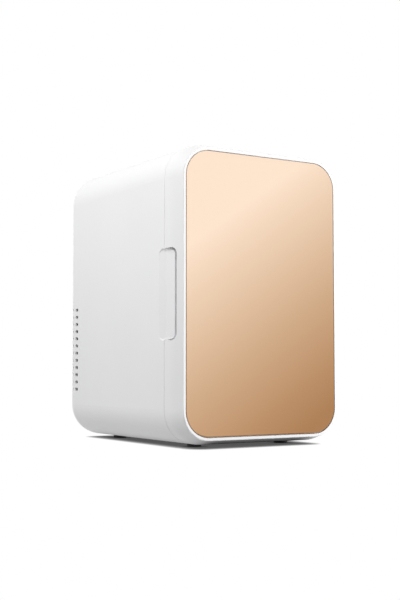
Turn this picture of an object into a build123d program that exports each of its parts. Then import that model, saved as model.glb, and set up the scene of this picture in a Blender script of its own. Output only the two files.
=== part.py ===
from build123d import *
import os
from math import atan, degrees

os.makedirs("parts", exist_ok=True)

# Small thermoelectric fridge with a glass-fronted door, in millimetres.
# The front faces -Y, the viewer's right is +X, and the feet stand on Z = 0.

# Outside of the closed fridge
width = 212
height = 324
depth = 280
corner_radius = 37
foot_height = 4

# Clearances
fit = 0.3
screw_fit = 0.02
running_fit = 0.05
swing_fit = 0.5

# Roundings of small mouldings
block_round = 1
thin_round = 0.5
pad_round = 2

# Door: its side walls lean in towards the front and end in a narrow flat rim
door_depth = 30.5
door_wall = 2.6
door_lip_depth = 10
front_wall = 2.2
taper_inset = 5
taper_run = 16
taper_blend = 38
rim_width = 3
rim_edge_round = 1.2
seam_gap = 0.6
seam_round = 1.5
door_seam_round = 0.4
lip_width = 10

# Glass front, held by a frame of tape in a pocket of the door
glass_thickness = 3.2
glass_proud = 0.8
glass_gap = 0.8
glass_bevel = 0.8
tape_thickness = 0.6
tape_width = 14

# Finger recess across the seam on the left side: a shallow dish with a deep slot round its front end
grip_height = 98
grip_round = 8
grip_draft = 40
grip_on_door = 21.5
grip_on_body = 11.5
grip_dish_front = 4.2
grip_dish_seam = 2.2
grip_dish_body = 2.9
grip_slot_width = 6
grip_slot_arm = 1.8
grip_slot_depth = 11.5
grip_wall = 2
grip_centre_z = 163

# Hinges on the right side
hinge_spread = 188
hinge_inset = 4
knuckle_height = 13
knuckle_radius = 3.8
arm_inner = 2.5
arm_outer = 0.6
hinge_base_width = 6.5
hinge_base_depth = 7
hinge_base_height = 34
hinge_screw_pitch = 24
pin_radius = 1.5
pin_grip = 10
bush_radius = 2.6
bush_flange_radius = 3.6
bush_flange = 0.5
hinge_end_gap = 0.4

# Cabinet
shell_wall = 3
body_lip_depth = 12
insulation = 28
cavity_radius = 12
cavity_depth = 152
liner_wall = 2
mouth_round = 1.6
foam_behind = 25
strike_thickness = 0.8
strike_width = 11
strike_margin = 1
bulkhead_thickness = 2.5

# Rear cover
rear_cover_depth = 41
rear_round = 27
cover_wall = 2.5
tongue = 2
tongue_depth = 6
collar_depth = 3
vent_rows = 12
vent_pitch = 8.8
vent_slot = 4
vent_short = 7.5
vent_long = 13
vent_column_gap = 5.5
vent_edge = 4.5
vent_bottom_z = 59
cover_screw_inset = 36
post_radius = 5
cover_screw_radius = 1.5
cover_screw_grip = 14
cover_screw_head = 3
cover_screw_recess = 1.2

# Round grille over the hot fan
grille_radius = 46
grille_step = 1.2
grille_ledge = 3
grille_rings = 5
grille_slot = 4.2
grille_ring_pitch = 7
grille_hub_radius = 8
grille_spoke = 3.4
grille_spoke_angles = (45, 135)

# Recessed panel for the inlets and the switch
panel_length = 108
panel_height = 36
panel_round = 6
panel_depth = 5
panel_z = 232
inlet_x = 32
switch_x = -36

# Cooling module
block_side = 40
peltier_thickness = 3.8
seal_side = 70
cold_sink_side = 76
cold_base = 4
cold_fin_height = 8
hot_sink_width = 100
hot_sink_height = 104
hot_base = 5
hot_fin_height = 22
fin_thickness = 1.2
cold_fin_pitch = 6.3
hot_fin_pitch = 6
clamp_pitch = 60
clamp_radius = 1.5
clamp_head_radius = 2.75
clamp_head_height = 2.2
clamp_head_room = 1
clamp_clearance = 0.3

# Fans
hot_fan_side = 80
hot_fan_depth = 25
hot_fan_holes = 71.5
hot_hub_radius = 16
hot_blades = 7
cold_fan_side = 60
cold_fan_depth = 10
cold_fan_holes = 50
cold_hub_radius = 12
cold_blades = 9
fan_gap = 0.4
fan_screw_radius = 1.4
fan_screw_head = 2.6
fan_screw_head_height = 1.8

# Cover over the cold fan, inside the cavity
cold_cover_side = 98
cold_cover_round = 12
cold_cover_wall = 1.8
cold_cover_depth = 27
cold_cover_boss_radius = 3
cold_cover_screw_radius = 1.2
cold_cover_screw_pitch = 87
cold_cover_screw_bite = 5
cold_cover_edge = 3
cold_cover_slots = 9
cold_cover_slot = 3.2
cold_cover_slot_pitch = 7
side_slot_start = 9.5
side_slot_end = 5.4

# Power board
board_length = 112
board_height = 64
board_thickness = 1.6
standoff = 8
standoff_radius = 3
board_screw_margin = 5
board_screw_radius = 1.2
board_screw_head = 2.4
board_screw_head_height = 1.6

# Shelf and its rails
shelf_z = 172
shelf_depth = 104
shelf_thickness = 4
shelf_slots = 9
shelf_slot_width = 7
shelf_slot_length = 82
shelf_side_gap = 0.6
shelf_back_gap = 1
rail_width = 5
rail_height = 4
upper_rail_rise = 68
rail_gap = 0.2
shelf_edge_round = 0.6

# Door liner, seal and rack
gasket_recess = 3
gasket_margin = 4
gasket_width = 10
gasket_base = 1.2
gasket_neck = 1
gasket_neck_inset = 2
gasket_lip_round = 0.7
plug_clearance = 4
plug_reach = 13.5
plug_round = 6
liner_screw_radius = 1.3
liner_screw_head = 2.6
liner_boss_radius = 3.6
liner_screw_length = 12
liner_screw_rise = 88
magnet_length = 22
magnet_width = 8
magnet_thickness = 4
magnet_spread = 110
rack_length = 128
rack_height = 60
rack_front_height = 44
rack_inner_depth = 34
rack_wall = 2
rack_z = 46
rack_round = 10
rack_window_rise = 26.4
rack_window_height = 13.2
rack_window_margin = 20
rail_spacing = 96
tee_height = 30
tee_web = 3
tee_web_depth = 2.6
tee_head = 7
tee_head_depth = 2
tee_rise = 22
channel_wall = 2.4

# Rubber feet
foot_radius = 8
foot_top_radius = 7
foot_edge_round = 1
foot_x = 58
foot_front_inset = 18
foot_rear_inset = 15
foot_stem_radius = 3
foot_barb_radius = 4
foot_barb_height = 2.4

# Places worked out from the sizes above
body_height = height - foot_height
mid_z = foot_height + body_height / 2
front_y = -depth / 2
rear_y = depth / 2
rim_y = front_y + glass_proud
door_rear = rim_y + door_depth
body_front = door_rear + seam_gap
rear_seam = rear_y - rear_cover_depth
taper_start = rim_y + taper_run
taper_angle = degrees(atan(taper_inset / taper_run))
pocket_depth = glass_thickness + tape_thickness - glass_proud
pocket_inset = taper_inset + rim_width
pocket_floor = rim_y + pocket_depth
door_inside = pocket_floor + front_wall
cavity_back = body_front + cavity_depth
liner_back = cavity_back + liner_wall
foam_rear = liner_back + foam_behind
bulkhead_rear = foam_rear + bulkhead_thickness
cover_inside = rear_y - cover_wall
cavity_half_width = width / 2 - insulation
cover_screw_x = width / 2 - cover_screw_inset
cover_screw_rise = body_height / 2 - cover_screw_inset
hinge_x = width / 2 - hinge_inset
hinge_y = door_rear - hinge_inset
foot_front_y = body_front + foot_front_inset
foot_rear_y = rear_seam - foot_rear_inset
hinge_levels = {"upper": mid_z + hinge_spread / 2, "lower": mid_z - hinge_spread / 2}
notch_height = knuckle_height + 2 * (bush_flange + hinge_end_gap)
cooler_z = vent_bottom_z + vent_pitch * (vent_rows - 1) / 2
peltier_rear = foam_rear + peltier_thickness
hot_base_rear = peltier_rear + hot_base
hot_fin_tip = hot_base_rear + hot_fin_height
cold_base_front = cavity_back - cold_base
cold_fin_tip = cold_base_front - cold_fin_height
hot_fan_front = hot_fin_tip + fit
cold_fan_front = cold_fin_tip - fit - cold_fan_depth
cold_cover_front = cavity_back - cold_cover_depth
panel_floor = rear_y - panel_depth
board_front = bulkhead_rear + standoff
board_rear = board_front + board_thickness
door_flange_rear = door_rear - gasket_recess
door_flange_front = door_flange_rear - liner_wall
plug_rear = body_front + plug_reach
plug_inset = insulation + plug_clearance
plug_radius = cavity_radius - plug_clearance
gasket_inset = lip_width + gasket_margin


def across(y, z=0):
    """Plane across the fridge at depth y, facing the front, with its own Y axis upright."""
    return Plane((0, y, z), x_dir=(1, 0, 0), z_dir=(0, -1, 0))


def slab(inset, front, rear, radius=None, mode=Mode.ADD):
    """Slab with the cabinet's rounded outline, drawn in by inset."""
    with BuildSketch(across(rear, mid_z)) as outline:
        RectangleRounded(width - 2 * inset, body_height - 2 * inset, radius or corner_radius - inset)
    extrude(outline.sketch, amount=rear - front, mode=mode)


def rods(points, radius, front, rear, mode=Mode.ADD):
    """Round bars along Y at the given (x, z) points."""
    with BuildSketch(across(rear)) as ends:
        with Locations(*points):
            Circle(radius)
    extrude(ends.sketch, amount=rear - front, mode=mode)


def pad(centre, size, round_, front, rear, mode=Mode.ADD):
    """Rounded rectangular pad along Y, centred on an (x, z) point."""
    with BuildSketch(across(rear)) as face:
        with Locations(centre):
            RectangleRounded(size[0], size[1], round_)
    extrude(face.sketch, amount=rear - front, mode=mode)


def block(x, y, z, mode=Mode.ADD):
    """Rectangular block between pairs of limits."""
    with Locations(((x[0] + x[1]) / 2, (y[0] + y[1]) / 2, (z[0] + z[1]) / 2)):
        Box(x[1] - x[0], y[1] - y[0], z[1] - z[0], mode=mode)


def square(pitch, centre_x=0, centre_z=cooler_z):
    """Four (x, z) points on the corners of a square."""
    half = pitch / 2
    return [(centre_x + i * half, centre_z + j * half) for i in (-1, 1) for j in (-1, 1)]


# Finger space of the grip: a dish with sloping ends, ramped on the cabinet, and a slot round its front end
grip_front = door_rear - grip_on_door
slot_rear = grip_front + grip_slot_width
grip_rear = body_front + grip_on_body
grip_length = grip_rear - grip_front
side_x = -width / 2
outside = 5
grip_plane = Plane((side_x, (grip_front + grip_rear) / 2, grip_centre_z), x_dir=(0, 1, 0), z_dir=(1, 0, 0))


def between(points):
    """Keeps what lies within an outline of (x, y) points, over the height of the grip."""
    with BuildSketch(Plane.XY.offset(grip_centre_z)) as outline:
        with BuildLine():
            Polyline(*points, close=True)
        make_face()
    extrude(outline.sketch, amount=grip_height, both=True, mode=Mode.INTERSECT)


with BuildPart() as grip_slot:
    with BuildSketch(grip_plane.offset(-outside)):
        RectangleRounded(grip_length, grip_height, grip_round)
        with Locations((grip_slot_width, 0)):
            RectangleRounded(
                grip_length,
                grip_height - 2 * grip_slot_arm,
                grip_round - grip_slot_arm,
                mode=Mode.SUBTRACT,
            )
    extrude(amount=outside + grip_slot_depth)
    between(
        [
            (side_x - outside, grip_front),
            (side_x + grip_slot_depth, grip_front),
            (side_x + grip_slot_depth, slot_rear),
            (side_x, door_rear),
            (side_x - outside, door_rear),
        ]
    )

with BuildPart() as finger_space:
    with BuildSketch(grip_plane) as grip_outline:
        RectangleRounded(grip_length, grip_height, grip_round)
    extrude(grip_outline.sketch, amount=grip_dish_front, taper=grip_draft)
    extrude(grip_outline.sketch, amount=-outside)
    between(
        [
            (side_x - outside, grip_front),
            (side_x + grip_dish_front, grip_front),
            (side_x + grip_dish_seam, door_rear),
            (side_x + grip_dish_body, body_front),
            (side_x, grip_rear),
            (side_x - outside, grip_rear),
        ]
    )
    add(grip_slot.part)

# Door before it is hollowed: upright sides, then a lean towards the rim
with BuildPart() as door_form:
    slab(0, taper_start, door_rear)
    with BuildSketch(across(taper_start, mid_z)):
        RectangleRounded(width, body_height, corner_radius)
    extrude(amount=taper_run, taper=taper_angle)
    fillet(door_form.edges().group_by(Axis.Y)[-1], door_seam_round)
    crease = door_form.edges().filter_by_position(Axis.Y, taper_start - fit, taper_start + fit)
    fillet(crease, taper_blend)
    fillet(door_form.edges().group_by(Axis.Y)[0], rim_edge_round)

# Wall behind the finger space, kept inside the door
with BuildPart() as grip_backing:
    with BuildSketch(Plane.XY.offset(grip_centre_z)):
        with BuildLine():
            Polyline(
                (side_x, grip_front - grip_wall),
                (side_x + grip_slot_depth + grip_wall, grip_front - grip_wall),
                (side_x + grip_slot_depth + grip_wall, slot_rear + grip_wall),
                (side_x + grip_dish_front + grip_wall, door_rear),
                (side_x, door_rear),
                close=True,
            )
        make_face()
    extrude(amount=grip_height / 2 + grip_wall, both=True)
    add(door_form.part, mode=Mode.INTERSECT)

# Edges taken off the door and the cabinet along the hinge side, so that the door turns clear
with BuildPart() as hinge_relief:
    block((hinge_x, width / 2 + outside), (hinge_y, body_front + hinge_inset), (0, height))
    for edge_y in (hinge_y, body_front + hinge_inset):
        with Locations((hinge_x, edge_y, height / 2)):
            Cylinder(hinge_inset, height, mode=Mode.SUBTRACT)

# Points under the seal where screws hold the door liner
liner_screw_x = width / 2 - gasket_inset - gasket_width / 2
liner_screw_z = body_height / 2 - gasket_inset - gasket_width / 2
liner_screw_points = [(i * liner_screw_x, mid_z + j * liner_screw_rise) for i in (-1, 1) for j in (-1, 1)]
liner_screw_points += [(0, mid_z + j * liner_screw_z) for j in (-1, 1)]

# Door shell: one moulding with the glass pocket, the grip, hinge notches and screw posts
with BuildPart() as door_shell:
    add(door_form.part)
    slab(lip_width, door_rear - door_lip_depth, door_rear, mode=Mode.SUBTRACT)
    slab(door_wall, taper_start, door_rear - door_lip_depth, mode=Mode.SUBTRACT)
    with BuildSketch(across(taper_start, mid_z)):
        RectangleRounded(width - 2 * door_wall, body_height - 2 * door_wall, corner_radius - door_wall)
    extrude(amount=taper_start - door_inside, taper=taper_angle, mode=Mode.SUBTRACT)
    slab(pocket_inset, rim_y, pocket_floor, mode=Mode.SUBTRACT)
    add(grip_backing.part)
    rods(liner_screw_points, liner_boss_radius, door_inside, door_flange_front)
    rods(
        liner_screw_points,
        liner_screw_radius + screw_fit,
        door_flange_rear - liner_screw_length,
        door_flange_front,
        mode=Mode.SUBTRACT,
    )
    add(finger_space.part, mode=Mode.SUBTRACT)
    add(hinge_relief.part, mode=Mode.SUBTRACT)
    for level_z in hinge_levels.values():
        notch_z = (level_z - notch_height / 2, level_z + notch_height / 2)
        with Locations((hinge_x, hinge_y, level_z)):
            Cylinder(knuckle_radius + swing_fit, notch_height, mode=Mode.SUBTRACT)
            Cylinder(pin_radius + screw_fit, notch_height + 2 * pin_grip, mode=Mode.SUBTRACT)
        block(
            (hinge_x - arm_inner - swing_fit, width / 2 + outside),
            (hinge_y, door_rear + outside),
            notch_z,
            mode=Mode.SUBTRACT,
        )
        block(
            (hinge_x, width / 2 + outside),
            (hinge_y - knuckle_radius - swing_fit, hinge_y),
            notch_z,
            mode=Mode.SUBTRACT,
        )
door_shell.part.label = "door_shell"
export_step(door_shell.part, "parts/door_shell.step")

# Tempered glass front with a ground bevel
with BuildPart() as glass_panel:
    slab(pocket_inset + glass_gap, front_y, front_y + glass_thickness)
    chamfer(glass_panel.edges().group_by(Axis.Y)[0], glass_bevel)
glass_panel.part.label = "glass_panel"
export_step(glass_panel.part, "parts/glass_panel.step")

# Frame of adhesive tape behind the glass
with BuildPart() as panel_tape:
    slab(pocket_inset + 2 * glass_gap, front_y + glass_thickness, pocket_floor)
    tape_inner = pocket_inset + 2 * glass_gap + tape_width
    slab(tape_inner, front_y + glass_thickness, pocket_floor, mode=Mode.SUBTRACT)
panel_tape.part.label = "panel_tape"
export_step(panel_tape.part, "parts/panel_tape.step")

# Door liner: a flange with a hollow plug that reaches into the cavity
with BuildPart() as door_liner:
    slab(lip_width + fit, door_flange_front, door_flange_rear)
    slab(plug_inset, door_flange_front, plug_rear, plug_radius)
    fillet(door_liner.edges().group_by(Axis.Y)[-1], plug_round)
    slab(
        plug_inset + liner_wall,
        door_flange_front,
        plug_rear - liner_wall,
        plug_radius - liner_wall,
        mode=Mode.SUBTRACT,
    )
    rods(
        liner_screw_points,
        liner_screw_radius + screw_fit,
        door_flange_front,
        door_flange_rear,
        mode=Mode.SUBTRACT,
    )
    rods(
        liner_screw_points,
        liner_screw_head + screw_fit,
        door_flange_rear - liner_wall / 2,
        door_flange_rear,
        mode=Mode.SUBTRACT,
    )
door_liner.part.label = "door_liner"
export_step(door_liner.part, "parts/door_liner.step")

# Two tee rails for the rack, bonded to the back of the plug
tee_bottom = rack_z + tee_rise
rail_points = [-rail_spacing / 2, rail_spacing / 2]

with BuildPart() as rack_rails:
    for rail_x in rail_points:
        block(
            (rail_x - tee_web / 2, rail_x + tee_web / 2),
            (plug_rear, plug_rear + tee_web_depth),
            (tee_bottom, tee_bottom + tee_height),
        )
        block(
            (rail_x - tee_head / 2, rail_x + tee_head / 2),
            (plug_rear + tee_web_depth, plug_rear + tee_web_depth + tee_head_depth),
            (tee_bottom, tee_bottom + tee_height),
        )
rack_rails.part.label = "rack_rails"
export_step(rack_rails.part, "parts/rack_rails.step")

# Screws that hold the door liner, with heads sunk flush under the seal
with BuildPart() as door_liner_screws:
    rods(liner_screw_points, liner_screw_radius, door_flange_rear - liner_screw_length + fit, door_flange_rear)
    rods(liner_screw_points, liner_screw_head, door_flange_rear - liner_wall / 2, door_flange_rear)
door_liner_screws.part.label = "door_liner_screws"
export_step(door_liner_screws.part, "parts/door_liner_screws.step")

# Magnets glued to the back of the flange on the grip side
magnet_x = -width / 2 + gasket_inset + gasket_width / 2
magnet_points = [(magnet_x, mid_z + j * magnet_spread / 2) for j in (-1, 1)]

with BuildPart() as door_magnets:
    for magnet_centre in magnet_points:
        pad(
            magnet_centre,
            (magnet_width, magnet_length),
            block_round,
            door_flange_front - magnet_thickness,
            door_flange_front,
        )
door_magnets.part.label = "door_magnets"
export_step(door_magnets.part, "parts/door_magnets.step")

# Insulation of the door, cut round the grip, the posts and the magnets
foam_front = door_inside + fit
foam_inset = door_wall + taper_inset + fit

with BuildPart() as door_insulation:
    slab(foam_inset, foam_front, door_rear - door_lip_depth - fit)
    slab(lip_width + fit, foam_front, door_flange_front - fit)
    slab(
        plug_inset + liner_wall + fit,
        foam_front,
        plug_rear - liner_wall - fit,
        plug_radius - liner_wall - fit,
    )
    rods(liner_screw_points, liner_boss_radius + fit, foam_front, door_flange_front, mode=Mode.SUBTRACT)
    for magnet_centre in magnet_points:
        pad(
            magnet_centre,
            (magnet_width + 2 * fit, magnet_length + 2 * fit),
            block_round,
            door_flange_front - magnet_thickness - fit,
            door_flange_front,
            mode=Mode.SUBTRACT,
        )
    block(
        (side_x, side_x + grip_slot_depth + grip_wall + fit),
        (foam_front, door_rear),
        (grip_centre_z - grip_height / 2 - grip_wall - fit, grip_centre_z + grip_height / 2 + grip_wall + fit),
        mode=Mode.SUBTRACT,
    )
door_insulation.part.label = "door_insulation"
export_step(door_insulation.part, "parts/door_insulation.step")

# Soft seal: a base, a narrow neck and a wide lip, moulded as one ring
gasket_rear = body_front - fit
gasket_neck_front = door_flange_rear + gasket_base
gasket_lip_front = gasket_neck_front + gasket_neck

with BuildPart() as door_gasket:
    slab(gasket_inset, gasket_lip_front, gasket_rear)
    fillet(door_gasket.edges().group_by(Axis.Y)[-1], gasket_lip_round)
    slab(gasket_inset, door_flange_rear, gasket_neck_front)
    slab(gasket_inset + gasket_neck_inset, gasket_neck_front, gasket_lip_front)
    gasket_inner = gasket_inset + gasket_width
    slab(gasket_inner, door_flange_rear, gasket_neck_front, mode=Mode.SUBTRACT)
    slab(gasket_inner - gasket_neck_inset, gasket_neck_front, gasket_lip_front, mode=Mode.SUBTRACT)
    slab(gasket_inner, gasket_lip_front, gasket_rear, mode=Mode.SUBTRACT)
door_gasket.part.label = "door_gasket"
export_step(door_gasket.part, "parts/door_gasket.step")

# Door rack: a low basket with two channels that slide down over the tee rails
rack_front = plug_rear + tee_web_depth + tee_head_depth + fit
rack_rear = rack_front + rack_wall + rack_inner_depth + rack_wall
channel_top = tee_bottom + tee_height + fit + channel_wall
channel_half = tee_head / 2 + fit + channel_wall

with BuildPart() as door_rack:
    with BuildSketch(Plane.XY.offset(rack_z)):
        with Locations((0, (rack_front + rack_rear) / 2)):
            RectangleRounded(rack_length, rack_rear - rack_front, rack_round)
    extrude(amount=rack_height)
    with BuildSketch(Plane.XY.offset(rack_z + rack_wall)):
        with Locations((0, (rack_front + rack_rear) / 2)):
            RectangleRounded(
                rack_length - 2 * rack_wall,
                rack_rear - rack_front - 2 * rack_wall,
                rack_round - rack_wall,
            )
    extrude(amount=rack_height, mode=Mode.SUBTRACT)
    block(
        (-rack_length / 2, rack_length / 2),
        (rack_front + rack_round, rack_rear),
        (rack_z + rack_front_height, rack_z + rack_height),
        mode=Mode.SUBTRACT,
    )
    with BuildSketch(across(rack_rear)):
        with Locations((0, rack_z + rack_window_rise)):
            SlotOverall(rack_length - 2 * rack_window_margin, rack_window_height)
    extrude(amount=2 * rack_wall, mode=Mode.SUBTRACT)
    for rail_x in rail_points:
        block(
            (rail_x - channel_half, rail_x + channel_half),
            (plug_rear + fit, rack_front + rack_wall),
            (tee_bottom, channel_top),
        )
        block(
            (rail_x - tee_head / 2 - fit, rail_x + tee_head / 2 + fit),
            (plug_rear + tee_web_depth - fit, rack_front),
            (tee_bottom, channel_top - channel_wall),
            mode=Mode.SUBTRACT,
        )
        block(
            (rail_x - tee_web / 2 - fit, rail_x + tee_web / 2 + fit),
            (plug_rear, plug_rear + tee_web_depth),
            (tee_bottom, channel_top - channel_wall),
            mode=Mode.SUBTRACT,
        )
door_rack.part.label = "door_rack"
export_step(door_rack.part, "parts/door_rack.step")

# Hinges: an arm on the cabinet carries a bush, and a pin in the door turns in it
hinge_screw_x = hinge_x + arm_outer - hinge_base_width / 2
base_rear = body_front + hinge_base_depth

for level, level_z in hinge_levels.items():
    with BuildPart() as hinge_arm:
        with Locations((hinge_x, hinge_y, level_z)):
            Cylinder(knuckle_radius, knuckle_height)
        block(
            (hinge_x - arm_inner, hinge_x + arm_outer),
            (hinge_y, base_rear),
            (level_z - knuckle_height / 2, level_z + knuckle_height / 2),
        )
        block(
            (hinge_x + arm_outer - hinge_base_width, hinge_x + arm_outer),
            (body_front, base_rear),
            (level_z - hinge_base_height / 2, level_z + hinge_base_height / 2),
        )
        with Locations((hinge_x, hinge_y, level_z)):
            Cylinder(bush_radius + screw_fit, knuckle_height, mode=Mode.SUBTRACT)
        screw_points = [(hinge_screw_x, level_z + j * hinge_screw_pitch / 2) for j in (-1, 1)]
        rods(screw_points, liner_screw_radius + screw_fit, body_front, base_rear, mode=Mode.SUBTRACT)
        rods(
            screw_points,
            liner_screw_head + screw_fit,
            body_front,
            body_front + liner_wall,
            mode=Mode.SUBTRACT,
        )
    hinge_arm.part.label = f"hinge_arm_{level}"
    export_step(hinge_arm.part, f"parts/hinge_arm_{level}.step")

    with BuildPart() as hinge_bush:
        with Locations((hinge_x, hinge_y, level_z)):
            Cylinder(bush_radius, knuckle_height)
        for side in (-1, 1):
            with Locations((hinge_x, hinge_y, level_z + side * (knuckle_height + bush_flange) / 2)):
                Cylinder(bush_flange_radius, bush_flange)
        with Locations((hinge_x, hinge_y, level_z)):
            Cylinder(pin_radius + running_fit, notch_height, mode=Mode.SUBTRACT)
    hinge_bush.part.label = f"hinge_bush_{level}"
    export_step(hinge_bush.part, f"parts/hinge_bush_{level}.step")

    with BuildPart() as hinge_pin:
        with Locations((hinge_x, hinge_y, level_z)):
            Cylinder(pin_radius, notch_height + 2 * pin_grip - fit)
    hinge_pin.part.label = f"hinge_pin_{level}"
    export_step(hinge_pin.part, f"parts/hinge_pin_{level}.step")

hinge_screw_points = [
    (hinge_screw_x, level_z + j * hinge_screw_pitch / 2) for level_z in hinge_levels.values() for j in (-1, 1)
]
hinge_screw_end = body_front + body_lip_depth - fit

with BuildPart() as hinge_arm_screws:
    rods(hinge_screw_points, liner_screw_radius, body_front + fit, hinge_screw_end)
    rods(hinge_screw_points, liner_screw_head, body_front + fit, body_front + liner_wall)
hinge_arm_screws.part.label = "hinge_arm_screws"
export_step(hinge_arm_screws.part, "parts/hinge_arm_screws.step")

# Outer shell: a sleeve with a rolled front lip, the grip ramp and pockets for the hinge arms
foot_points = {
    "front_left": (-foot_x, foot_front_y),
    "front_right": (foot_x, foot_front_y),
    "rear_left": (-foot_x, foot_rear_y),
    "rear_right": (foot_x, foot_rear_y),
}

with BuildPart() as outer_shell:
    slab(0, body_front, rear_seam)
    fillet(outer_shell.edges().group_by(Axis.Y)[0], seam_round)
    slab(lip_width, body_front, body_front + body_lip_depth, mode=Mode.SUBTRACT)
    slab(shell_wall, body_front + body_lip_depth, rear_seam, mode=Mode.SUBTRACT)
    add(finger_space.part, mode=Mode.SUBTRACT)
    add(hinge_relief.part, mode=Mode.SUBTRACT)
    for level_z in hinge_levels.values():
        block(
            (hinge_x + arm_outer - hinge_base_width - fit, hinge_x + arm_outer),
            (body_front - outside, base_rear),
            (level_z - hinge_base_height / 2 - fit, level_z + hinge_base_height / 2 + fit),
            mode=Mode.SUBTRACT,
        )
    rods(
        hinge_screw_points,
        liner_screw_radius + screw_fit,
        body_front,
        body_front + body_lip_depth,
        mode=Mode.SUBTRACT,
    )
    for foot_point in foot_points.values():
        with Locations((*foot_point, foot_height)):
            Cylinder(foot_stem_radius + screw_fit, 2 * shell_wall, mode=Mode.SUBTRACT)
outer_shell.part.label = "outer_shell"
export_step(outer_shell.part, "parts/outer_shell.step")

# Rubber feet, each with a stem and barb pushed through the floor of the shell
stem_top = foot_height + shell_wall + fit

for corner, foot_point in foot_points.items():
    with BuildPart() as foot:
        with BuildSketch(Plane((*foot_point, 0), x_dir=(1, 0, 0), z_dir=(0, -1, 0))):
            with BuildLine():
                Polyline(
                    (0, 0),
                    (foot_radius, 0),
                    (foot_top_radius, foot_height),
                    (foot_stem_radius, foot_height),
                    (foot_stem_radius, stem_top),
                    (foot_barb_radius, stem_top),
                    (foot_stem_radius, stem_top + foot_barb_height),
                    (0, stem_top + foot_barb_height),
                    close=True,
                )
            make_face()
        revolve(axis=Axis(foot_point + (0,), (0, 0, 1)))
        fillet(foot.edges().group_by(Axis.Z)[0], foot_edge_round)
    foot.part.label = f"foot_{corner}"
    export_step(foot.part, f"parts/foot_{corner}.step")

# Liner: the walls of the cold cavity with their front flange and two pairs of shelf rails, open at the back
clamp_points = square(clamp_pitch)
cold_cover_screw_points = square(cold_cover_screw_pitch)
rail_rear = cavity_back - shelf_back_gap
rail_front = rail_rear - shelf_depth

with BuildPart() as inner_liner:
    slab(insulation - liner_wall, body_front, cavity_back, cavity_radius + liner_wall)
    slab(lip_width + fit, body_front, body_front + liner_wall)
    slab(insulation, body_front, cavity_back, cavity_radius, mode=Mode.SUBTRACT)
    mouth = inner_liner.faces().sort_by(Axis.Y)[0].inner_wires()[0].edges()
    fillet(mouth, mouth_round)
    for rail_z in (shelf_z, shelf_z + upper_rail_rise):
        for side in (-1, 1):
            wall_x = side * cavity_half_width
            rail_x_limits = sorted((wall_x - side * rail_width, wall_x + side * liner_wall / 2))
            rail_top = rail_z - rail_gap
            block(rail_x_limits, (rail_front, cavity_back), (rail_top - rail_height, rail_top))
inner_liner.part.label = "inner_liner"
export_step(inner_liner.part, "parts/inner_liner.step")

# Back panel of the liner, bonded to its walls, with holes for the cold block and its screws
with BuildPart() as liner_back_panel:
    slab(insulation - liner_wall, cavity_back, liner_back, cavity_radius + liner_wall)
    pad(
        (0, cooler_z),
        (block_side + 2 * fit, block_side + 2 * fit),
        block_round,
        cavity_back,
        liner_back,
        mode=Mode.SUBTRACT,
    )
    rods(clamp_points, clamp_radius + clamp_clearance, cavity_back, liner_back, mode=Mode.SUBTRACT)
    rods(
        cold_cover_screw_points,
        cold_cover_screw_radius + screw_fit,
        cavity_back,
        liner_back,
        mode=Mode.SUBTRACT,
    )
liner_back_panel.part.label = "liner_back_panel"
export_step(liner_back_panel.part, "parts/liner_back_panel.step")

# Steel frame behind the liner's flange, which the door magnets pull on
strike_front = body_front + liner_wall

with BuildPart() as strike_frame:
    slab(lip_width + strike_margin, strike_front, strike_front + strike_thickness)
    slab(
        lip_width + strike_margin + strike_width,
        strike_front,
        strike_front + strike_thickness,
        mode=Mode.SUBTRACT,
    )
strike_frame.part.label = "strike_frame"
export_step(strike_frame.part, "parts/strike_frame.step")

# Insulation round the liner, cut for the cold block, the screws and the foot barbs
cover_screw_end = liner_back + cold_cover_screw_bite

with BuildPart() as cabinet_insulation:
    slab(shell_wall + fit, body_front + body_lip_depth + fit, foam_rear)
    slab(
        insulation - liner_wall - fit,
        body_front + body_lip_depth + fit,
        liner_back + fit,
        cavity_radius + liner_wall + fit,
        mode=Mode.SUBTRACT,
    )
    pad(
        (0, cooler_z),
        (block_side + 2 * fit, block_side + 2 * fit),
        block_round,
        liner_back,
        foam_rear,
        mode=Mode.SUBTRACT,
    )
    rods(clamp_points, clamp_radius + clamp_clearance, liner_back, foam_rear, mode=Mode.SUBTRACT)
    rods(
        cold_cover_screw_points,
        cold_cover_screw_radius + fit,
        liner_back,
        cover_screw_end + fit,
        mode=Mode.SUBTRACT,
    )
    for foot_point in foot_points.values():
        with Locations((*foot_point, foot_height + shell_wall)):
            Cylinder(foot_barb_radius + fit, 4 * foot_barb_height, mode=Mode.SUBTRACT)
cabinet_insulation.part.label = "cabinet_insulation"
export_step(cabinet_insulation.part, "parts/cabinet_insulation.step")

# Bulkhead behind the insulation, with posts for the rear cover and standoffs for the power board
cover_screw_points = [(i * cover_screw_x, mid_z + j * cover_screw_rise) for i in (-1, 1) for j in (-1, 1)]
board_screw_points = [
    (
        i * (board_length / 2 - board_screw_margin),
        panel_z + j * (board_height / 2 - board_screw_margin),
    )
    for i in (-1, 1)
    for j in (-1, 1)
]

with BuildPart() as rear_bulkhead:
    slab(shell_wall + fit, foam_rear, bulkhead_rear)
    rods(cover_screw_points, post_radius, foam_rear, cover_inside)
    rods(board_screw_points, standoff_radius, foam_rear, board_front)
    rods(
        cover_screw_points,
        cover_screw_radius + screw_fit,
        cover_inside - cover_screw_grip,
        cover_inside,
        mode=Mode.SUBTRACT,
    )
    rods(
        board_screw_points,
        board_screw_radius + screw_fit,
        bulkhead_rear,
        board_front,
        mode=Mode.SUBTRACT,
    )
    pad(
        (0, cooler_z),
        (seal_side + 2 * fit, seal_side + 2 * fit),
        pad_round,
        foam_rear,
        bulkhead_rear,
        mode=Mode.SUBTRACT,
    )
rear_bulkhead.part.label = "rear_bulkhead"
export_step(rear_bulkhead.part, "parts/rear_bulkhead.step")

# Cooling module, from the cavity to the rear: finned cold sink, block, module in its seal, finned heat sink


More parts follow.
